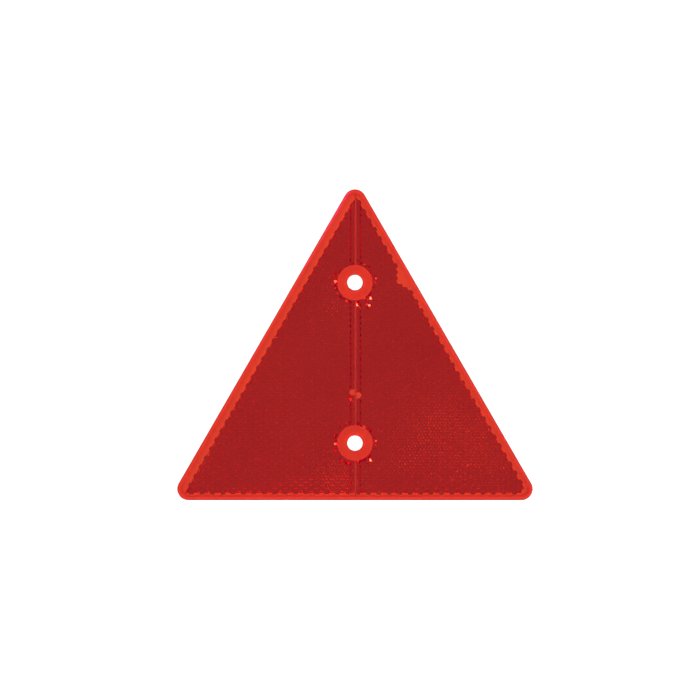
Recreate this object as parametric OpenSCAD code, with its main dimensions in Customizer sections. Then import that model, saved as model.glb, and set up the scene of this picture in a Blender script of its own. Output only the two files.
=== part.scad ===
// Triangle reflector for a trailer: a red moulded lens with a field of corner-cube prisms on its rear,
// and a back plate welded into it, which keeps the air behind the prisms.
// It stands upright, as it is mounted: the front faces -Y, +Z is up, and the back lies on the plane y = 0.
// The origin is halfway between the two screw holes, on the back.

/* [Outline] */
// Width across the lower side
overall_w = 155; // [120:1:200]
// Radius of the three corners
corner_r = 5; // [4:0.5:8]
// Depth from the front face to the back
depth = 8; // [7:0.1:12]
// Rounding of the front edge
edge_r = 1; // [0.3:0.1:1.5]

/* [Lens walls] */
// Thickness of the flat front wall
front_wall = 2.2; // [1.6:0.1:2.6]
// Thickness of the skirt round the edge
skirt_wall = 2.1; // [1.8:0.1:2.4]
// Thickness of the lip that stays outside the back plate
lip_wall = 1.2; // [0.8:0.1:1.5]

/* [Screw holes] */
// Distance between the two screw holes
hole_spacing = 70; // [60:0.5:74]
// Height of the lower screw hole above the lower edge
lower_hole_h = 24.9; // [22:0.1:28]
// Diameter of the screw holes
hole_d = 6.6; // [5:0.1:8]
// Outer diameter of the boss round each screw hole
boss_d = 12.4; // [11:0.1:14]
// Rounding at the foot of each boss, on the rear of the front wall
boss_foot_r = 0.7; // [0.3:0.1:0.9]
// Chamfer round each screw hole in the front face
hole_chamfer = 0.6; // [0.2:0.1:0.8]
// Wall of the sleeve that carries each boss through the back plate
sleeve_wall = 1.2; // [0.8:0.1:1.4]

/* [Prisms] */
// Width of one prism across its flats
prism_af = 2.62; // [2.6:0.02:4]
// Step from the flat rear of the front wall to the foot of the prisms
prism_foot = 0.2; // [0.1:0.05:0.4]
// Clear strip between the lower edge and the prisms
border_lower = 2.4; // [2.4:0.1:5]
// Clear strip between the right edge and the prisms
border_right = 2.9; // [2.4:0.1:5]
// Clear strip between the left edge and the prisms
border_left = 3.7; // [2.4:0.1:5]
// Width of the parting strip between the two prism blocks
seam_w = 0.75; // [0.4:0.05:1.5]
// Offset of the parting strip to the right of the middle
seam_x = 0.25; // [-1:0.05:1]
// Height of the middle prism row over the middle of the triangle
row_shift = -0.45; // [-1.3:0.05:1.3]

/* [Clear spots] */
// Diameter kept clear of prisms round each screw hole
boss_clear_d = 15.2; // [14.5:0.1:20]
// Diameter of the clear spot in the middle
spot_d = 1; // [0.4:0.1:4]
// Reach of the clear gate area in from the right edge
gate_reach = 5.6; // [4:0.1:8]
// Height of the gate area above the lower edge
gate_h = 98; // [90:0.5:105]

/* [Back plate] */
// Thickness of the back plate
plate_t = 1.8; // [1.2:0.1:2]
// Gap round the back plate and round its holes
plate_gap = 0.1; // [0.05:0.05:0.3]

/* [Hidden] */
$fn = 96;
// How far a piece reaches into the wall that carries it, and how far a cut passes the face that it opens
bite = 0.3;

// Facets of a full turn of a round corner and of its front edge: every side meets a corner at a facet's edge
corner_facets = 60;
edge_facets = 16;
// Turn of one facet of the arc at the foot of a boss
FOOT_STEP = 15;

// The straight outline, without its round corners, and the circle inside it
sharp_side = overall_w + 2 * (sqrt(3) - 1) * corner_r;
in_r = sharp_side / (2 * sqrt(3));
lower_edge_y = -lower_hole_h - hole_spacing / 2;
middle = [0, lower_edge_y + in_r];
// Outward directions of the lower, right and left side
SIDES = [-90, 30, 150];
borders = [border_lower, border_right, border_left];

hole_points = [[0, -hole_spacing / 2], [0, hole_spacing / 2]];
wall_z = depth - front_wall;
sleeve_d = hole_d + 2 * sleeve_wall;

// One corner-cube prism: a cube's corner seen along its diagonal is a hexagon with three faces.
// Its outer corners lie at two levels, one and two steps below the tip.
hex_r = prism_af / sqrt(3);
step_z = prism_af / sqrt(6);
foot_z = wall_z - prism_foot;
column_w = 1.5 * hex_r;
row_h = prism_af / 2;
COLUMNS = ceil(overall_w / 2 / column_w);
// The top corner lies two inner radii over the middle, counted in half rows
ROWS = ceil(2 * in_r / row_h);

// Circles that stay clear of prisms: both bosses, the spot in the middle and the gate area
gate_along = (gate_h - in_r - in_r * sin(SIDES[1])) / cos(SIDES[1]);
gate_point = middle + in_r * unit(SIDES[1]) + gate_along * unit(SIDES[1] + 90);
spot_point = middle + [seam_x, row_shift];
clear_circles = [
    for (p = hole_points) [p, boss_clear_d / 2],
    [spot_point, spot_d / 2],
    [gate_point, gate_reach]
];

function unit(angle) = [cos(angle), sin(angle)];

// The middle of prism (k, q) in the block on one side of the seam, k columns out and q half rows up.
// The left block is the right one seen in a mirror and moved up half a row, so that the rows interlock.
function cell_point(side, k, q) =
    spot_point + [side * (seam_w / 2 + hex_r / 2 + k * column_w), (q - side / 2) * row_h];

function clear_of_sides(p) =
    min([for (i = [0:2]) in_r - borders[i] - row_h - (p - middle) * unit(SIDES[i])]) >= 0;
// The round corners lie opposite the sides
function clear_of_corners(p) =
    min([for (a = SIDES) 2 * in_r - corner_r - border_lower - row_h + (p - middle) * unit(a)]) >= 0;
function clear_of_circles(p) =
    min([for (c = clear_circles) norm(p - c[0]) - c[1] - row_h]) >= 0;

// A table of the prisms that a block holds, with an empty column and row all round
function cell_table(side) = [
    for (k = [-1:COLUMNS + 1]) [
        for (q = [-ROWS - 2:ROWS + 2])
            let (p = cell_point(side, k, q))
            k >= 0 && (k + q) % 2 == 0
                && clear_of_sides(p) && clear_of_corners(p) && clear_of_circles(p)
    ]
];

// The three round corners have facets of 6 degrees, so that every wall of the outline is flat
module corners() {
    translate(middle) hull()
        for (a = SIDES) translate(-(2 * (in_r - corner_r)) * unit(a)) children();
}

// The outline, moved in by inset
module outline(inset) {
    corners() circle(corner_r - inset, $fn = corner_facets);
}

// The outer form: three round corners with a rounded front edge, and all that lies between them
module lens_block() {
    corners() rotate_extrude($fn = corner_facets) {
        square([corner_r, depth - edge_r]);
        square([corner_r - edge_r, depth]);
        translate([corner_r - edge_r, depth - edge_r]) circle(edge_r, $fn = edge_facets);
    }
}

// Everything that is open behind the front wall: the hollow and the seat of the back plate
module lens_hollow() {
    difference() {
        translate([0, 0, -bite]) linear_extrude(wall_z + bite) outline(skirt_wall);
        for (p = hole_points) translate([p.x, p.y, plate_t]) cylinder(d = boss_d, h = depth);
    }
    translate([0, 0, -bite]) linear_extrude(plate_t + bite) outline(lip_wall);
}

// One block of prisms, from its foot inside the front wall to the tips.
// The corners of all prisms lie on upright lines: line 2k and 2k + 1 run either side of the tips of column k.
module prism_block(side) {
    cells = cell_table(side);
    rows = 2 * ROWS + 5;
    lines = 2 * COLUMNS + 4;
    function has(k, q) = cells[k + 1][q + ROWS + 2];
    function line_x(m) =
        let (k = floor(m / 2)) seam_w / 2 + hex_r / 2 + k * column_w + (m - 2 * k - 0.5) * hex_r;
    function corner_at(m, q) = (m + 1) * rows + q + ROWS + 2;
    function foot_at(m, q) = lines * rows + corner_at(m, q);
    function tip_at(k, q) = 2 * lines * rows + k * rows + q + ROWS + 2;

    points = concat(
        [for (level = [0, 1]) for (m = [-1:lines - 2]) for (q = [-ROWS - 2:ROWS + 2])
            [line_x(m), q * row_h,
                level == 1 ? wall_z + bite : foot_z - (m % 2 == 0 ? step_z : 0)]],
        [for (k = [0:COLUMNS]) for (q = [-ROWS - 2:ROWS + 2])
            [line_x(2 * k) + hex_r / 2, q * row_h, foot_z - 2 * step_z]]
    );

    // The six corners of a prism, from its right-hand one round to the left, and the prisms next to its sides
    function ring(k, q) = [
        [2 * k + 2, q], [2 * k + 1, q + 1], [2 * k, q + 1],
        [2 * k - 1, q], [2 * k, q - 1], [2 * k + 1, q - 1]
    ];
    function next_cells(k, q) = [
        [k + 1, q + 1], [k, q + 2], [k - 1, q + 1], [k - 1, q - 1], [k, q - 2], [k + 1, q - 1]
    ];
    function at(corner) = corner_at(corner[0], corner[1]);
    function under(corner) = foot_at(corner[0], corner[1]);
    function wall(a, b) = [at(b), at(a), under(a), under(b)];

    // The prisms of the first column end flat at the seam, without their left-hand corner
    facets = [
        for (k = [0:COLUMNS]) for (q = [-ROWS:ROWS]) if (has(k, q))
            let (c = ring(k, q), tip = tip_at(k, q))
            for (i = [0, 2, 4])
                i == 2 && k == 0
                    ? [tip, at(c[2]), at(c[4])]
                    : [tip, at(c[i]), at(c[i + 1]), at(c[(i + 2) % 6])]
    ];
    walls = [
        for (k = [0:COLUMNS]) for (q = [-ROWS:ROWS]) if (has(k, q))
            let (c = ring(k, q), beside = next_cells(k, q))
            for (i = [0:5])
                if (!has(beside[i][0], beside[i][1]) && !(k == 0 && i == 3))
                    k == 0 && i == 2 ? wall(c[2], c[4]) : wall(c[i], c[(i + 1) % 6])
    ];

    // The foot face, in upright bands: one along the middle of each column, split corner to corner ...
    function top_of_run(k, q) = has(k, q + 2) ? top_of_run(k, q + 2) : q;
    wide_bands = [
        for (k = [0:COLUMNS]) for (q = [-ROWS:ROWS]) if (has(k, q) && !has(k, q - 2))
            let (top = top_of_run(k, q) + 1, low = q - 1)
            each [
                [foot_at(2 * k, low), foot_at(2 * k + 1, top),
                    for (r = [top - 2:-2:low + 2]) if (!has(k + 1, r)) foot_at(2 * k + 1, r),
                    foot_at(2 * k + 1, low)],
                [foot_at(2 * k + 1, top), foot_at(2 * k, low),
                    for (r = [low + 2:2:top - 2]) if (!has(k - 1, r)) foot_at(2 * k, r),
                    foot_at(2 * k, top)]
            ]
    ];
    // ... and one between neighbouring columns, where their prisms interlock
    function filled(k, q) = (k + q) % 2 == 0 ? has(k, q) : has(k + 1, q);
    function top_of_teeth(k, q) = filled(k, q + 1) ? top_of_teeth(k, q + 1) : q;
    narrow_bands = [
        for (k = [0:COLUMNS - 1]) for (q = [-ROWS:ROWS]) if (filled(k, q) && !filled(k, q - 1))
            let (
                top = top_of_teeth(k, q),
                low_own = (k + q) % 2 == 0 ? 1 : 0,
                top_own = (k + top) % 2 == 0 ? 1 : 0,
                left_low = q - low_own,
                left_top = top + top_own,
                right_low = q - 1 + low_own,
                right_top = top + 1 - top_own
            )
            concat(
                [foot_at(2 * k + 1, left_low)],
                left_top > left_low ? [foot_at(2 * k + 1, left_top)] : [],
                right_top > right_low ? [foot_at(2 * k + 2, right_top)] : [],
                [foot_at(2 * k + 2, right_low)]
            )
    ];
    polyhedron(points, concat(facets, walls, wide_bands, narrow_bands), convexity = 10);
}

// The rounded foot of a boss: a concave arc in facets, turned round the screw hole
module boss_foot() {
    boss_r = boss_d / 2;
    rotate_extrude() polygon([
        [boss_r - bite, wall_z - boss_foot_r],
        for (a = [180:-FOOT_STEP:90])
            [boss_r + boss_foot_r * (1 + cos(a)), wall_z - boss_foot_r * (1 - sin(a))],
        [boss_r + boss_foot_r, wall_z + bite],
        [boss_r - bite, wall_z + bite]
    ]);
}

// A screw hole with its chamfer, as a cut
module screw_hole() {
    translate([0, 0, -bite]) cylinder(d = hole_d, h = depth + 2 * bite);
    translate([0, 0, depth - hole_chamfer])
        cylinder(d1 = hole_d, d2 = hole_d + 2 * (hole_chamfer + bite), h = hole_chamfer + bite);
}

// The shell: front wall, skirt and the two bosses with their sleeves and screw holes
module lens_shell() {
    difference() {
        union() {
            difference() {
                lens_block();
                lens_hollow();
            }
            for (p = hole_points) translate(p) {
                cylinder(d = sleeve_d, h = plate_t + bite);
                boss_foot();
            }
        }
        for (p = hole_points) translate(p) screw_hole();
    }
}

module lens() {
    color("crimson") rotate([90, 0, 0]) union() {
        lens_shell();
        translate(spot_point - [0, row_h / 2]) prism_block(1);
        translate(spot_point + [0, row_h / 2]) mirror([1, 0, 0]) prism_block(-1);
    }
}

module back_plate() {
    color("whitesmoke") rotate([90, 0, 0]) difference() {
        linear_extrude(plate_t) outline(lip_wall + plate_gap);
        for (p = hole_points)
            translate([p.x, p.y, -bite]) cylinder(d = sleeve_d + 2 * plate_gap, h = plate_t + 2 * bite);
    }
}

lens();
back_plate();
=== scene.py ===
"""Looks for the triangle reflector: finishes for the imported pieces, stage, light and camera.

Every length is in metres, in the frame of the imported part: +Z up, the front faces -Y.
"""

from __future__ import annotations

import logging
import math
import random
from collections.abc import Callable
from dataclasses import dataclass, field
from enum import Enum

import bpy
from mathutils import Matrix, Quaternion, Vector

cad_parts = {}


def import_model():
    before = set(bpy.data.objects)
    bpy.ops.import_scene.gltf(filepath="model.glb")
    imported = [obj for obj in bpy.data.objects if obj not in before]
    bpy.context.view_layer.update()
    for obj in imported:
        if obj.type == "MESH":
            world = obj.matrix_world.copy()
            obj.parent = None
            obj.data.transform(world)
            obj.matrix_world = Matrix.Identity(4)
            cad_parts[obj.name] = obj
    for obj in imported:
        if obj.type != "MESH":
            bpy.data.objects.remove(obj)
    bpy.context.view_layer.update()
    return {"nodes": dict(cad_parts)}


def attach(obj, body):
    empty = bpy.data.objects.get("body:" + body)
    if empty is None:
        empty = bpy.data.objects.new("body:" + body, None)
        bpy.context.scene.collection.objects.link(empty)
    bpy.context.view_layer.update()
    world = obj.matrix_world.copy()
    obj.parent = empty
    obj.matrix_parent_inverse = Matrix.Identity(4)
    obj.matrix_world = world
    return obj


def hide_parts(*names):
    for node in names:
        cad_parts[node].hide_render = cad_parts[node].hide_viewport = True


LOG = logging.getLogger("triangle_reflector")
MM = 0.001
SEAM_X = 0.25 * MM
NEAR_VERTICES = 0.001 * MM
FLAT_ANGLE = math.radians(0.5)
WHITE = (1.0, 1.0, 1.0)

Colour = tuple[float, float, float]
Point = tuple[float, float, float]
Pair = tuple[float, float]


class Slot(Enum):
    """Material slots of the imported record."""

    LENS = "red_acrylic"
    PLATE = "white_plate"


def rgba(colour: Colour) -> tuple[float, float, float, float]:
    """Returns a colour with full alpha."""
    return (*colour, 1.0)


class NodeSheet:
    """A material's node tree, with short calls to add and join nodes."""

    def __init__(self, name: str) -> None:
        """Starts an empty material.

        Args:
            name: The material's name.
        """
        self.material = bpy.data.materials.new(name)
        self.material.use_nodes = True
        self.tree = self.material.node_tree
        self.tree.nodes.clear()

    def add(self, kind: str, **inputs: object) -> bpy.types.Node:
        """Adds a node and sets its inputs.

        Args:
            kind: The node's type, without the ShaderNode prefix.
            **inputs: Input names with underscores for spaces, and their values.

        Returns:
            The new node.
        """
        node = self.tree.nodes.new("ShaderNode" + kind)
        for name, value in inputs.items():
            node.inputs[name.replace("_", " ")].default_value = value
        return node

    def join(self, source: bpy.types.NodeSocket, target: bpy.types.NodeSocket) -> None:
        """Joins an output to an input."""
        self.tree.links.new(source, target)

    def fill(
        self, target: bpy.types.NodeSocket, value: bpy.types.NodeSocket | Colour | float
    ) -> None:
        """Gives an input a socket, a colour or a number.

        Args:
            target: The input.
            value: What it gets.
        """
        if isinstance(value, bpy.types.NodeSocket):
            self.join(value, target)
        elif isinstance(value, tuple):
            target.default_value = rgba(value)
        else:
            target.default_value = value

    def place(self) -> bpy.types.NodeSocket:
        """Returns the Object coordinates."""
        return self.add("TexCoord").outputs["Object"]

    def noise(self, scale: float, detail: float) -> bpy.types.NodeSocket:
        """Adds a noise pattern on Object coordinates.

        Args:
            scale: Features per metre.
            detail: Octaves of the noise.

        Returns:
            The socket of the pattern's value.
        """
        pattern = self.add("TexNoise", Scale=scale, Detail=detail)
        self.join(self.place(), pattern.inputs["Vector"])
        return pattern.outputs["Fac"]

    def ramp(
        self,
        source: bpy.types.NodeSocket,
        low: float,
        high: float,
        out_low: float = 0.0,
        out_high: float = 1.0,
    ) -> bpy.types.NodeSocket:
        """Maps a range of a value to another range.

        Args:
            source: The value's socket.
            low: Value that gives out_low.
            high: Value that gives out_high.
            out_low: Result at low.
            out_high: Result at high.

        Returns:
            The socket of the result.
        """
        node = self.add("MapRange")
        node.clamp = True
        self.join(source, node.inputs["Value"])
        node.inputs["From Min"].default_value = low
        node.inputs["From Max"].default_value = high
        node.inputs["To Min"].default_value = out_low
        node.inputs["To Max"].default_value = out_high
        return node.outputs["Result"]

    def work_out(
        self, operation: str, *values: bpy.types.NodeSocket | float
    ) -> bpy.types.NodeSocket:
        """Works out one value from others.

        Args:
            operation: Name of the Math node's operation.
            *values: Sockets or numbers that it works on.

        Returns:
            The socket of the result.
        """
        node = self.add("Math")
        node.operation = operation
        for target, value in zip(node.inputs, values):
            self.fill(target, value)
        return node.outputs["Value"]

    def band(
        self, axis: bpy.types.NodeSocket, middle: float, reach: Pair
    ) -> bpy.types.NodeSocket:
        """Masks a band that one axis crosses.

        Args:
            axis: One coordinate in the piece's frame.
            middle: Where the band's middle is on it.
            reach: Where the mask begins to fall from the middle outwards, and where it ends.

        Returns:
            The socket of the mask, 1 in the band and 0 outside it.
        """
        away = self.work_out("ABSOLUTE", self.work_out("SUBTRACT", axis, middle))
        return self.ramp(away, *reach, 1.0, 0.0)

    def blend(
        self,
        factor: bpy.types.NodeSocket,
        first: bpy.types.NodeSocket | Colour,
        second: Colour,
    ) -> bpy.types.NodeSocket:
        """Mixes two colours.

        Args:
            factor: Share of the second colour.
            first: Colour at 0, or the socket that gives it.
            second: Colour at 1.

        Returns:
            The socket of the mixed colour.
        """
        node = self.tree.nodes.new("ShaderNodeMix")
        node.data_type = "RGBA"
        self.join(factor, node.inputs["Factor"])
        colours = [s for s in node.inputs if s.type == "RGBA"]
        self.fill(colours[0], first)
        self.fill(colours[1], second)
        return next(s for s in node.outputs if s.type == "RGBA")

    def close(
        self, shader: bpy.types.Node, volume: bpy.types.Node | None = None
    ) -> bpy.types.Material:
        """Joins the shaders to the material's output.

        Args:
            shader: Shader of the surface.
            volume: Shader of the inside, if it has one.

        Returns:
            The finished material.
        """
        end = self.add("OutputMaterial")
        self.join(shader.outputs["BSDF"], end.inputs["Surface"])
        if volume:
            self.join(volume.outputs["Volume"], end.inputs["Volume"])
        return self.material


@dataclass(frozen=True)
class RedAcrylic:
    """Clear red acrylic: polished, with faint clouds of pigment and a slightly worn front.

    Its rear ends are darker and rougher. The rear of the parting strip has painted shade in its
    colour, and the rounding of the front edge is rougher, with painted shade in its colour and a
    darker painted reflection.
    """

    tint: Colour = (0.745, 0.070, 0.020)
    tint_dense: Colour = (0.715, 0.064, 0.018)
    cloud_scale: float = 45.0
    cloud_detail: float = 3.0
    cloud_range: Pair = (0.35, 0.7)
    sheen: Colour = (1.0, 0.0, 0.48)
    ior: float = 1.49
    roughness: Pair = (0.0, 0.03)
    rub_scale: float = 260.0
    rub_detail: float = 4.0
    rub_range: Pair = (0.45, 0.75)
    end_tint: Colour = (0.50, 0.045, 0.013)
    end_roughness: float = 0.5
    end_level: Pair = (-0.5 * MM, -0.2 * MM)
    seam_level: float = -5.8 * MM
    seam_reach: Pair = (0.40 * MM, 0.46 * MM)
    seam_depth: Pair = (0.10 * MM, 0.15 * MM)
    # painted shade: the rear of the parting strip is darkened, so that less light seems to pass
    # through it
    seam_painted_shade: Colour = (0.43, 0.020, 0.020)
    edge_level: float = -7.2 * MM
    edge_depth: Pair = (0.70 * MM, 0.78 * MM)
    # painted shade at the rounding of the front edge: a darker colour, and a darker, browner
    # painted reflection, for the dark outline round the lens
    edge_painted_shade: Colour = (0.60, 0.050, 0.025)
    edge_painted_reflection: Colour = (0.48, 0.22, 0.16)
    edge_roughness: float = 0.35
    absorption: Colour = (0.99, 0.18, 0.75)
    density: float = 95.0

    def build(self) -> bpy.types.Material:
        """Makes the material.

        Returns:
            The new material.
        """
        sheet = NodeSheet("red_acrylic")
        shader = sheet.add("BsdfPrincipled", IOR=self.ior, Metallic=0.0, Transmission_Weight=1.0)
        axes = sheet.add("SeparateXYZ")
        sheet.join(sheet.place(), axes.inputs["Vector"])
        across, depth = axes.outputs["X"], axes.outputs["Y"]
        at_end = sheet.ramp(depth, *self.end_level)
        at_edge = sheet.band(depth, self.edge_level, self.edge_depth)
        at_seam = sheet.work_out(
            "MULTIPLY",
            sheet.band(across, SEAM_X, self.seam_reach),
            sheet.band(depth, self.seam_level, self.seam_depth),
        )
        clouds = sheet.noise(self.cloud_scale, self.cloud_detail)
        tint = sheet.blend(
            sheet.ramp(clouds, *self.cloud_range), self.tint, self.tint_dense
        )
        # painted shade on the rear of the parting strip
        tint = sheet.blend(at_seam, tint, self.seam_painted_shade)
        # painted shade in the band at the rounding of the front edge
        tint = sheet.blend(at_edge, tint, self.edge_painted_shade)
        tint = sheet.blend(at_end, tint, self.end_tint)
        sheet.join(tint, shader.inputs["Base Color"])
        # tint of the reflections, with a darker, browner painted reflection in the band at the
        # front edge
        sheen = sheet.blend(at_edge, self.sheen, self.edge_painted_reflection)
        sheet.join(sheen, shader.inputs["Specular Tint"])
        rub = sheet.noise(self.rub_scale, self.rub_detail)
        worn = sheet.ramp(rub, *self.rub_range, *self.roughness)
        matt_end = sheet.ramp(depth, *self.end_level, 0.0, self.end_roughness)
        matt_edge = sheet.work_out("MULTIPLY", at_edge, self.edge_roughness)
        matt = sheet.work_out("MAXIMUM", matt_end, matt_edge)
        sheet.join(sheet.work_out("MAXIMUM", worn, matt), shader.inputs["Roughness"])
        soak = sheet.add("VolumeAbsorption", Color=rgba(self.absorption), Density=self.density)
        return sheet.close(shader, soak)


@dataclass(frozen=True)
class MilkyPlate:
    """White plate that lets light through, with a fine moulded grain."""

    colour: Colour = (0.92, 0.92, 0.905)
    colour_dull: Colour = (0.89, 0.89, 0.88)
    cloud_scale: float = 60.0
    ior: float = 1.5
    roughness: Pair = (0.6, 0.75)
    transmission: float = 0.85
    grain_scale: float = 2400.0
    grain_range: Pair = (0.3, 0.7)
    grain_height: float = 0.08 * MM
    grain_strength: float = 0.25
    detail: float = 3.0

    def build(self) -> bpy.types.Material:
        """Makes the material.

        Returns:
            The new material.
        """
        sheet = NodeSheet("white_plate")
        shader = sheet.add(
            "BsdfPrincipled", IOR=self.ior, Transmission_Weight=self.transmission
        )
        clouds = sheet.noise(self.cloud_scale, self.detail)
        colour = sheet.blend(clouds, self.colour, self.colour_dull)
        sheet.join(colour, shader.inputs["Base Color"])
        grain = sheet.noise(self.grain_scale, self.detail)
        rough = sheet.ramp(grain, *self.grain_range, *self.roughness)
        sheet.join(rough, shader.inputs["Roughness"])
        bump = sheet.add("Bump", Strength=self.grain_strength, Distance=self.grain_height)
        sheet.join(grain, bump.inputs["Height"])
        sheet.join(bump.outputs["Normal"], shader.inputs["Normal"])
        return sheet.close(shader)


@dataclass(frozen=True)
class StagePaper:
    """Plain white paper, glowing where it stands in for a wall that is lit by its own lamps."""

    name: str
    glow: float = 0.0
    colour: Colour = (0.9, 0.9, 0.9)
    shade: float = 0.985
    cloud_scale: float = 1.5
    cloud_detail: float = 2.0
    roughness: float = 0.9

    def build(self) -> bpy.types.Material:
        """Makes the material.

        Returns:
            The new material.
        """
        sheet = NodeSheet(self.name)
        shader = sheet.add(
            "BsdfPrincipled",
            Roughness=self.roughness,
            Emission_Color=rgba(WHITE),
            Emission_Strength=self.glow,
        )
        shaded = tuple(self.shade * c for c in self.colour)
        clouds = sheet.noise(self.cloud_scale, self.cloud_detail)
        sheet.join(sheet.blend(clouds, self.colour, shaded), shader.inputs["Base Color"])
        return sheet.close(shader)


def select_in_edit(thing: bpy.types.Object, test: Callable[[Vector], bool]) -> None:
    """Selects the vertices of an object whose place passes a test.

    Args:
        thing: The mesh object, in object mode.
        test: Says whether a vertex at a place is selected.
    """
    for part in (*thing.data.polygons, *thing.data.edges):
        part.select = False
    for vertex in thing.data.vertices:
        vertex.select = test(vertex.co)


def take_up(thing: bpy.types.Object) -> None:
    """Selects one object alone and makes it the active one.

    Args:
        thing: The object.
    """
    bpy.ops.object.select_all(action="DESELECT")
    thing.select_set(True)
    bpy.context.view_layer.objects.active = thing


def copy_mesh(source: bpy.types.Object, name: str) -> bpy.types.Object:
    """Copies an object with a mesh of its own.

    Args:
        source: The object to copy.
        name: Name of the copy.

    Returns:
        The copy, selected alone.
    """
    copy = bpy.data.objects.new(name, source.data.copy())
    bpy.context.scene.collection.objects.link(copy)
    take_up(copy)
    return copy


def copy_node(node: bpy.types.Object, name: str) -> bpy.types.Object:
    """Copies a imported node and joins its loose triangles.

    Args:
        node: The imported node.
        name: Name of the copy.

    Returns:
        The copy, selected alone, in object mode.
    """
    piece = copy_mesh(node, name)
    bpy.ops.object.mode_set(mode="EDIT")
    bpy.ops.mesh.select_all(action="SELECT")
    bpy.ops.mesh.remove_doubles(threshold=NEAR_VERTICES)
    bpy.ops.mesh.customdata_custom_splitnormals_clear()
    bpy.ops.object.mode_set(mode="OBJECT")
    return piece


def clear_flat_faces(piece: bpy.types.Object) -> None:
    """Joins near vertices and takes up the edges inside flat faces.

    Args:
        piece: The mesh object.
    """
    take_up(piece)
    bpy.ops.object.mode_set(mode="EDIT")
    bpy.ops.mesh.select_all(action="SELECT")
    bpy.ops.mesh.remove_doubles(threshold=NEAR_VERTICES)
    bpy.ops.mesh.dissolve_limited(angle_limit=FLAT_ANGLE)
    bpy.ops.object.mode_set(mode="OBJECT")


def unite(thing: bpy.types.Object, other: bpy.types.Object) -> None:
    """Adds another closed object to an object, both in triangles, and removes the other one.

    Args:
        thing: The object that stays.
        other: The object that is added to it.
    """
    for operand in (other, thing):
        take_up(operand)
        operand.modifiers.new("split", "TRIANGULATE")
        bpy.ops.object.modifier_apply(modifier="split")
    union = thing.modifiers.new("union", "BOOLEAN")
    union.operation = "UNION"
    union.solver = "MANIFOLD"
    union.object = other
    bpy.ops.object.modifier_apply(modifier="union")
    bpy.data.objects.remove(other)


def shade_by_angle(piece: bpy.types.Object, degrees: float) -> None:
    """Shades a piece smooth, apart from sharper edges, with its large faces kept flat.

    Args:
        piece: The mesh object.
        degrees: Edges that turn by more than this stay sharp.
    """
    take_up(piece)
    bpy.ops.object.shade_smooth_by_angle(angle=math.radians(degrees))
    even = piece.modifiers.new("even", "WEIGHTED_NORMAL")
    even.keep_sharp = True
    even.weight = 100
    bpy.ops.object.modifier_apply(modifier="even")


def heading(degrees: float) -> Pair:
    """Returns the direction in the face that lies at an angle from +X."""
    return (math.cos(math.radians(degrees)), math.sin(math.radians(degrees)))


def ragged_share(x: float, z: float) -> float:
    """Gives a share that is fixed for each place and differs between near places.

    Args:
        x: Place in the face.
        z: Its height.

    Returns:
        A number from 0 to 1.
    """
    step = 0.05 * MM
    row_seed = 100003
    return random.Random(round(x / step) * row_seed + round(z / step)).random()


@dataclass
class BackPlate:
    """The moulded plate that closes the rear, with its arrises broken, just off its seat."""

    node: bpy.types.Object
    seat_gap: float = 0.04 * MM
    arris: float = 0.12 * MM
    arris_segments: int = 2
    arris_angle: float = 60.0
    smooth_angle: float = 35.0
    finish: MilkyPlate = field(default_factory=MilkyPlate)

    def build(self) -> bpy.types.Object:
        """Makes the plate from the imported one.

        Returns:
            The plate's object.
        """
        plate = copy_node(self.node, "back_plate_moulding")
        clear_flat_faces(plate)
        front = min(v.co.y for v in plate.data.vertices)
        select_in_edit(plate, lambda place: place.y < front / 2)
        bpy.ops.object.mode_set(mode="EDIT")
        bpy.ops.transform.translate(value=(0, self.seat_gap, 0))
        bpy.ops.object.mode_set(mode="OBJECT")
        bevel = plate.modifiers.new("arris", "BEVEL")
        bevel.width = self.arris
        bevel.segments = self.arris_segments
        bevel.angle_limit = math.radians(self.arris_angle)
        bpy.ops.object.modifier_apply(modifier="arris")
        shade_by_angle(plate, self.smooth_angle)
        plate.data.materials.clear()
        plate.data.materials.append(self.finish.build())
        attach(plate, "root")
        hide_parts("back_plate")
        LOG.info("%s: %d faces", plate.name, len(plate.data.polygons))
        return plate


class Wear(Enum):
    """What of the prisms is worn."""

    TIPS = "tips"
    RIDGES = "ridges"
    VALLEYS = "valleys"


@dataclass(frozen=True)
class WornPatch:
    """A patch of the field where one part of the prisms is flattened, as in a worn mould."""

    kind: Wear
    place: Pair
    reach: Pair
    amount: float
    ragged: float

    def share(self, x: float, z: float, chance: float) -> float:
        """Says how far the patch wears the prisms at a place.

        Args:
            x: Place in the face.
            z: Its height.
            chance: The place's own share, from 0 to 1.

        Returns:
            A share of the full wear.
        """
        away = ((x - self.place[0]) / self.reach[0]) ** 2
        away += ((z - self.place[1]) / self.reach[1]) ** 2
        here = self.amount * math.exp(-away)
        return here * (1 - self.ragged + self.ragged * chance)


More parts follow.
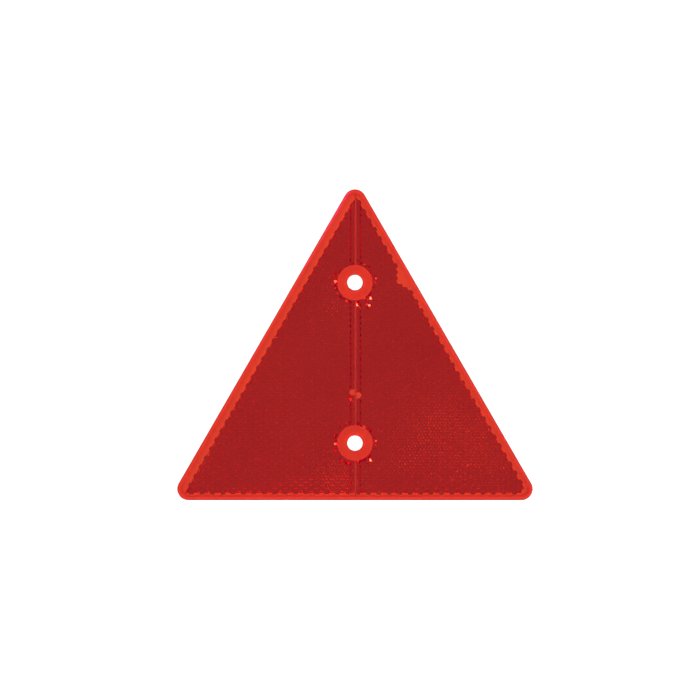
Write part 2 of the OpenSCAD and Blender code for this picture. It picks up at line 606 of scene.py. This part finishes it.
@dataclass(frozen=True)
class PrismGrid:
    """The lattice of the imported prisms, and the straight borders that it ends at."""

    across: float = 2.62 * MM
    seam_half: float = 0.375 * MM
    row_z: float = -13.4921 * MM
    middle_z: float = -13.0421 * MM
    inner_r: float = 46.8579 * MM
    borders: tuple[Pair, ...] = (
        (-90.0, 2.4 * MM),
        (30.0, 2.9 * MM),
        (150.0, 3.7 * MM),
    )
    corner_reach: float = 85.9 * MM
    gate: Pair = (24.58 * MM, 38.1 * MM)
    gate_r: float = 6.95 * MM
    holes_z: Pair = (35 * MM, -35 * MM)
    columns: int = 36
    rows: int = 80
    outside: float = -2.0

    def places(self, side: int) -> list[Pair]:
        """Lists the lattice of one block, far past its ends.

        Args:
            side: 1 for the right-hand block, -1 for the left-hand one.

        Returns:
            The place of each tip in the face.
        """
        corner = self.across / math.sqrt(3)
        return [
            (
                SEAM_X + side * (self.seam_half + corner / 2 + column * 1.5 * corner),
                self.row_z + (row - side / 2) * self.across / 2,
            )
            for column in range(self.columns)
            for row in range(column % 2 - self.rows, self.rows, 2)
        ]

    def from_hole(self, x: float, z: float) -> float:
        """Returns the distance from the nearest screw hole."""
        return min(math.hypot(x, z - hole) for hole in self.holes_z)

    def inside(self, angle: float, border: float, x: float, z: float) -> float:
        """Says how far a place lies inside one border.

        Args:
            angle: Direction from the middle to the border, in degrees from +X.
            border: Width of the clear rim there.
            x: Place in the face.
            z: Its height.

        Returns:
            The distance, less than 0 outside.
        """
        out = heading(angle)
        return self.inner_r - border - (x * out[0] + (z - self.middle_z) * out[1])

    def from_border(self, x: float, z: float) -> float:
        """Says how far a place lies inside the nearest border.

        Args:
            x: Place in the face.
            z: Its height.

        Returns:
            The distance, or the value of outside past a corner or at the gate.
        """
        if math.hypot(x - self.gate[0], z - self.gate[1]) < self.gate_r:
            return self.outside
        for angle, border in self.borders:
            if self.inside(angle, border, x, z) > self.inner_r - border + self.corner_reach:
                return self.outside
        return min(self.inside(angle, border, x, z) for angle, border in self.borders)


@dataclass(frozen=True)
class PartPrisms:
    """The prisms that a boss or a border takes part of, and the wide feet of the bosses."""

    grid: PrismGrid = field(default_factory=PrismGrid)
    seam_end: float = 0.378 * MM
    tip_y: float = -3.461 * MM
    root_y: float = -6.1 * MM
    boss_reach: Pair = (6.6 * MM, 8.95 * MM)
    edge_reach: Pair = (-0.7 * MM, 1.30 * MM)
    edge_cut: float = 0.85 * MM
    foot_r: Pair = (5.0 * MM, 7.75 * MM)
    foot_y: Pair = (-6.5 * MM, -1.85 * MM)
    foot_sides: int = 96
    overlap: float = 1.002

    def prism(self) -> bpy.types.Object:
        """Models one prism of the right-hand block: a cube on its corner, drawn out forwards.

        Returns:
            The prism, with its tip on the Y axis and its root in the front wall.
        """
        bpy.ops.object.select_all(action="DESELECT")
        edge = self.grid.across / math.sqrt(2)
        bpy.ops.mesh.primitive_cube_add(size=edge)
        cube = bpy.context.object
        upright = Vector((1, 1, 1)).rotation_difference(Vector((0, 1, 0)))
        beside = upright @ Vector((-1, 1, 1))
        turn = Quaternion((0, 1, 0), math.atan2(beside.z, beside.x))
        cube.rotation_mode = "QUATERNION"
        cube.rotation_quaternion = turn @ upright
        cube.location = (0, self.tip_y - edge * math.sqrt(3) / 2, 0)
        bpy.ops.object.transform_apply(location=True, rotation=True, scale=True)
        select_in_edit(cube, lambda place: place.y < self.tip_y - edge / 4)
        bpy.ops.object.mode_set(mode="EDIT")
        bpy.ops.mesh.extrude_region_move(TRANSFORM_OT_translate={"value": (0, -edge, 0)})
        bpy.ops.transform.resize(value=(1, 0, 1), center_override=(0, self.root_y, 0))
        bpy.ops.mesh.select_all(action="SELECT")
        bpy.ops.transform.resize(
            value=(self.overlap, 1, self.overlap), center_override=(0, self.root_y, 0)
        )
        bpy.ops.mesh.normals_make_consistent(inside=False)
        bpy.ops.object.mode_set(mode="OBJECT")
        return cube

    def foot(self, hole_z: float) -> bpy.types.Object:
        """Models the wide foot of a boss: a turned ring that reaches into the front wall.

        Args:
            hole_z: Height of the screw hole.

        Returns:
            The ring.
        """
        bpy.ops.object.select_all(action="DESELECT")
        bpy.ops.mesh.primitive_cylinder_add(
            vertices=self.foot_sides,
            radius=self.foot_r[1],
            depth=self.foot_y[1] - self.foot_y[0],
            end_fill_type="NOTHING",
            location=(0, (self.foot_y[1] + self.foot_y[0]) / 2, hole_z),
            rotation=(math.radians(90), 0, 0),
        )
        bpy.ops.object.transform_apply(location=True, rotation=True, scale=True)
        ring = bpy.context.object
        wall = ring.modifiers.new("wall", "SOLIDIFY")
        wall.thickness = self.foot_r[1] - self.foot_r[0]
        wall.offset = -1
        bpy.ops.object.modifier_apply(modifier="wall")
        return ring

    def cut(self, point: Pair, out: Pair) -> None:
        """Cuts the active object along an upright plane and closes it again.

        Args:
            point: Place of the plane in the face.
            out: Direction of the side that goes.
        """
        bpy.ops.object.mode_set(mode="EDIT")
        bpy.ops.mesh.select_all(action="SELECT")
        bpy.ops.mesh.bisect(
            plane_co=(point[0], 0, point[1]),
            plane_no=(out[0], 0, out[1]),
            use_fill=True,
            clear_outer=True,
        )
        bpy.ops.object.mode_set(mode="OBJECT")

    def part(self, master: bpy.types.Object, side: int, x: float, z: float) -> bpy.types.Object:
        """Copies one prism and cuts it at the parting strip and the borders.

        Args:
            master: The whole prism at the origin.
            side: Its block, 1 or -1.
            x: Place of its tip.
            z: Height of its tip.

        Returns:
            The prism in its place.
        """
        grid = self.grid
        copy = copy_mesh(master, "part_prism")
        copy.rotation_euler = (0, math.radians(90 - 90 * side), 0)
        copy.location = (x, 0, z)
        bpy.ops.object.transform_apply(location=True, rotation=True, scale=True)
        if abs(x - SEAM_X) < grid.across:
            self.cut((SEAM_X + side * self.seam_end, 0), (-side, 0))
        for angle, border in grid.borders:
            if grid.inside(angle, border, x, z) < grid.across:
                out = heading(angle)
                reach = grid.inner_r - border - self.edge_cut
                self.cut((reach * out[0], grid.middle_z + reach * out[1]), out)
        return copy

    def build(self) -> bpy.types.Object:
        """Makes the part prisms along the borders and round each boss, with its foot.

        Returns:
            One object of closed shells that each overlap the lens.
        """
        grid = self.grid
        master = self.prism()
        feet = {hole_z: self.foot(hole_z) for hole_z in grid.holes_z}
        strips = []
        for side in (1, -1):
            strip = None
            for x, z in grid.places(side):
                if self.boss_reach[0] < grid.from_hole(x, z) < self.boss_reach[1]:
                    near = min(grid.holes_z, key=lambda hole, z=z: abs(z - hole))
                    unite(feet[near], self.part(master, side, x, z))
                elif self.edge_reach[0] < grid.from_border(x, z) < self.edge_reach[1]:
                    piece = self.part(master, side, x, z)
                    if strip:
                        unite(strip, piece)
                    else:
                        strip = piece
            strips.append(strip)
        bpy.data.objects.remove(master)
        shells = [*feet.values(), *strips]
        take_up(shells[0])
        for shell in shells:
            shell.select_set(True)
        bpy.ops.object.join()
        return shells[0]


@dataclass
class LensMoulding:
    """The lens with the small faults of its mould: flattened prism edges and crooked prisms."""

    node: bpy.types.Object
    finish: RedAcrylic = field(default_factory=RedAcrylic)
    grid: PrismGrid = field(default_factory=PrismGrid)
    facet_slope: Pair = (0.55, 0.61)
    flat_width: float = 0.10 * MM
    tip_cut: float = 0.62 * MM
    tip_slack: float = 0.01 * MM
    general_wear: float = 0.10
    least_cut: float = 0.08
    plain_r: float = 10.5 * MM
    ridge_level: float = -4.4 * MM
    smooth_angle: float = 28.0
    patches: tuple[WornPatch, ...] = (
        WornPatch(Wear.TIPS, (0.034, -0.023), (0.006, 0.005), 0.6, 0.6),
        WornPatch(Wear.TIPS, (0.032, -0.034), (0.004, 0.007), 0.7, 0.6),
        WornPatch(Wear.TIPS, (0.026, -0.040), (0.006, 0.005), 1.0, 0.5),
        WornPatch(Wear.TIPS, (0.020, -0.045), (0.005, 0.004), 0.8, 0.5),
        WornPatch(Wear.TIPS, (0.040, -0.028), (0.020, 0.016), 0.35, 0.8),
        WornPatch(Wear.TIPS, (-0.008, -0.050), (0.008, 0.008), 0.9, 1.0),
        WornPatch(Wear.TIPS, (-0.010, 0.028), (0.006, 0.014), 0.8, 1.0),
        WornPatch(Wear.VALLEYS, (0.052, -0.038), (0.012, 0.012), 1.0, 0.25),
        WornPatch(Wear.VALLEYS, (0.036, -0.024), (0.012, 0.010), 0.7, 0.4),
        WornPatch(Wear.VALLEYS, (0.030, -0.038), (0.012, 0.014), 0.5, 0.6),
        WornPatch(Wear.VALLEYS, (-0.008, -0.050), (0.010, 0.009), 0.9, 0.9),
        WornPatch(Wear.RIDGES, (-0.008, -0.050), (0.009, 0.009), 0.7, 1.0),
        WornPatch(Wear.RIDGES, (0.044, -0.036), (0.022, 0.020), 0.5, 0.8),
        WornPatch(Wear.VALLEYS, (-0.010, 0.030), (0.008, 0.014), 0.4, 1.0),
    )
    crooked: tuple[Pair, ...] = (
        (0.0046, 0.0276),
        (0.0050, 0.0250),
        (0.0018, 0.0261),
        (-0.0022, -0.0434),
        (0.0029, -0.0429),
        (0.0053, -0.0420),
        (0.0059, -0.0442),
    )
    lean: float = 0.45 * MM
    lean_turn: float = 2.4

    def build(self) -> bpy.types.Object:
        """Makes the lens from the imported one.

        Returns:
            The lens's object.
        """
        lens = copy_node(self.node, "prism_lens")
        unite(lens, PartPrisms(self.grid).build())
        clear_flat_faces(lens)
        self.lean_tips(lens)
        self.cut_tips(lens)
        self.flatten_edges(lens)
        shade_by_angle(lens, self.smooth_angle)
        lens.data.materials.clear()
        lens.data.materials.append(self.finish.build())
        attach(lens, "root")
        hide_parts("lens")
        LOG.info("%s: %d faces", lens.name, len(lens.data.polygons))
        return lens

    def is_facet(self, face: bpy.types.MeshPolygon) -> bool:
        """Says whether a face has the slope of a prism's facet."""
        return self.facet_slope[0] < abs(face.normal.y) < self.facet_slope[1]

    def tips(self, lens: bpy.types.Object) -> list[bpy.types.MeshVertex]:
        """Finds the tips of the prisms.

        Args:
            lens: The lens, in object mode.

        Returns:
            The vertices that only facets meet at, on the rearmost level of the prisms.
        """
        sides: dict[int, list[bool]] = {}
        for face in lens.data.polygons:
            for v in face.vertices:
                sides.setdefault(v, []).append(self.is_facet(face))
        found = [lens.data.vertices[v] for v, kinds in sides.items() if all(kinds)]
        rear = max(v.co.y for v in found)
        return [v for v in found if v.co.y > rear - self.tip_slack]

    def lean_tips(self, lens: bpy.types.Object) -> None:
        """Moves the tips of a few prisms beside the bosses sideways, so that they sparkle.

        Args:
            lens: The lens, in object mode.
        """
        tips = self.tips(lens)
        LOG.info("prisms: %d", len(tips))
        for turn, (x, z) in enumerate(self.crooked):
            tip = min(tips, key=lambda v: (v.co.x - x) ** 2 + (v.co.z - z) ** 2)
            angle = self.lean_turn * turn
            tip.co.x += self.lean * math.cos(angle)
            tip.co.z += self.lean * math.sin(angle)

    def wear(self, kind: Wear, x: float, z: float) -> float:
        """Says how far the prisms are worn at a place.

        Args:
            kind: What of the prisms is asked for.
            x: Place in the face.
            z: Its height.

        Returns:
            A share of the full wear, from 0 to 1.
        """
        chance = ragged_share(x, z)
        amount = 0.0 if kind is Wear.TIPS else self.general_wear * chance
        for patch in self.patches:
            if patch.kind is kind:
                amount += patch.share(x, z, chance)
        return min(1.0, amount)

    def apply_bevel(self, lens: bpy.types.Object, affect: str, width: float) -> None:
        """Bevels by the weights that are set, in one segment.

        Args:
            lens: The lens, in object mode.
            affect: EDGES or VERTICES.
            width: Width of the bevel at full weight.
        """
        take_up(lens)
        bevel = lens.modifiers.new("wear", "BEVEL")
        bevel.affect = affect
        bevel.limit_method = "WEIGHT"
        bevel.width = width
        bevel.segments = 1
        bevel.use_clamp_overlap = False
        bpy.ops.object.modifier_apply(modifier="wear")

    def cut_tips(self, lens: bpy.types.Object) -> None:
        """Flattens the tips of the prisms, as deep as the mould is worn there.

        Args:
            lens: The lens, in object mode.
        """
        weights = lens.data.attributes.new("bevel_weight_vert", "FLOAT", "POINT")
        cut = 0
        for tip in self.tips(lens):
            amount = self.wear(Wear.TIPS, tip.co.x, tip.co.z)
            if amount > self.least_cut:
                weights.data[tip.index].value = amount
                cut += 1
        LOG.info("flattened tips: %d", cut)
        self.apply_bevel(lens, "VERTICES", self.tip_cut)

    def flatten_edges(self, lens: bpy.types.Object) -> None:
        """Gives the edges between facets narrow flats, as wide as the mould is worn there.

        Args:
            lens: The lens, in object mode.
        """
        mesh = lens.data
        sides: dict[tuple[int, int], list[bool]] = {}
        for face in mesh.polygons:
            for key in face.edge_keys:
                sides.setdefault(key, []).append(self.is_facet(face))
        weights = mesh.attributes.new("bevel_weight_edge", "FLOAT", "EDGE")
        for edge in mesh.edges:
            if sides.get(edge.key) != [True, True]:
                continue
            a, b = (mesh.vertices[v].co for v in edge.vertices)
            if self.grid.from_hole(a.x, a.z) < self.plain_r:
                continue
            kind = Wear.RIDGES if max(a.y, b.y) > self.ridge_level else Wear.VALLEYS
            worn = self.wear(kind, (a.x + b.x) / 2, (a.z + b.z) / 2)
            weights.data[edge.index].value = worn
        self.apply_bevel(lens, "EDGES", self.flat_width)


@dataclass(frozen=True)
class SoftBox:
    """A soft area lamp aimed at the part."""

    name: str
    place: Point
    size: Pair
    power: float
    target: Point = (0.0, 0.0, 0.0)

    def build(self) -> None:
        """Adds the lamp."""
        data = bpy.data.lights.new(self.name, "AREA")
        data.shape = "RECTANGLE"
        data.size, data.size_y = self.size
        data.energy = self.power
        lamp = bpy.data.objects.new(self.name, data)
        bpy.context.scene.collection.objects.link(lamp)
        lamp.location = self.place
        aim = Vector(self.target) - Vector(self.place)
        lamp.rotation_euler = aim.to_track_quat("-Z", "Y").to_euler()


@dataclass(frozen=True)
class Studio:
    """Floor, backdrop, lamps and surrounding light."""

    floor_z: float = -0.42
    wall_y: float = 1.7
    width: float = 6.0
    front_y: float = -3.0
    height: float = 3.2
    surround: float = 0.475
    wall_glow: float = 0.66
    lamps: tuple[SoftBox, ...] = (
        SoftBox("key_lamp", (-0.9, -0.9, 0.8), (0.6, 0.6), 12.0),
        SoftBox("fill_lamp", (1.0, -0.8, 0.35), (0.5, 0.7), 7.0),
        SoftBox("left_spark_lamp", (-0.235, -1.128, 0.336), (0.22, 0.22), 5.0),
        SoftBox("right_spark_lamp", (0.14, -1.128, 0.385), (0.22, 0.22), 5.0),
    )

    def panel(
        self, name: str, middle: Point, size: Pair, tilt: float, paper: StagePaper
    ) -> None:
        """Adds a flat stage panel.

        Args:
            name: Name of the panel.
            middle: Its middle.
            size: Its width and its depth or height.
            tilt: Its turn about X, in degrees, from lying flat.
            paper: Its finish.
        """
        bpy.ops.object.select_all(action="DESELECT")
        bpy.ops.mesh.primitive_plane_add(
            size=1, location=middle, rotation=(math.radians(tilt), 0, 0)
        )
        thing = bpy.context.object
        thing.name = name
        thing.scale = (*size, 1)
        bpy.ops.object.transform_apply(location=True, rotation=True, scale=True)
        thing.data.materials.append(paper.build())

    def build(self) -> None:
        """Builds the stage and its light."""
        self.panel(
            "floor",
            (0, (self.front_y + self.wall_y) / 2, self.floor_z),
            (self.width, self.wall_y - self.front_y),
            0,
            StagePaper("floor_paper"),
        )
        self.panel(
            "backdrop",
            (0, self.wall_y, self.floor_z + self.height / 2),
            (self.width, self.height),
            90,
            StagePaper("backdrop_paper", self.wall_glow),
        )
        world = bpy.data.worlds.new("studio")
        world.use_nodes = True
        back = world.node_tree.nodes["Background"]
        back.inputs["Color"].default_value = rgba(WHITE)
        back.inputs["Strength"].default_value = self.surround
        bpy.context.scene.world = world
        for lamp in self.lamps:
            lamp.build()


@dataclass(frozen=True)
class PhotoCamera:
    """The camera, square on to the front face at the photo's scale."""

    distance: float = 0.9965
    lens_mm: float = 117.75
    sensor_mm: float = 36.0
    nearest: float = 0.01
    axis_x: float = -0.00215
    axis_z: float = 0.0056
    front_y: float = -8 * MM

    def build(self) -> None:
        """Adds the camera and makes it the scene's own."""
        data = bpy.data.cameras.new("photo_camera")
        data.lens = self.lens_mm
        data.sensor_width = self.sensor_mm
        data.clip_start = self.nearest
        camera = bpy.data.objects.new("photo_camera", data)
        camera.location = (self.axis_x, self.front_y - self.distance, self.axis_z)
        camera.rotation_euler = (math.radians(90), 0, 0)
        bpy.context.scene.collection.objects.link(camera)
        bpy.context.scene.camera = camera


def set_render_paths() -> None:
    """Lets light pass through all prisms, and shows colours as they are."""
    scene = bpy.context.scene
    scene.view_settings.view_transform = "Standard"
    scene.view_settings.look = "None"
    cycles = scene.cycles
    cycles.max_bounces = 20
    cycles.transmission_bounces = 16
    cycles.glossy_bounces = 12
    cycles.diffuse_bounces = 4
    cycles.sample_clamp_indirect = 6.0
    cycles.use_denoising = True


def main() -> None:
    """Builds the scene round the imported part."""
    logging.basicConfig(level=logging.INFO, format="%(message)s")
    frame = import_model()
    PhotoCamera().build()
    Studio().build()
    LensMoulding(frame["nodes"]["lens"]).build()
    BackPlate(frame["nodes"]["back_plate"]).build()
    set_render_paths()


if __name__ == "__main__":
    main()
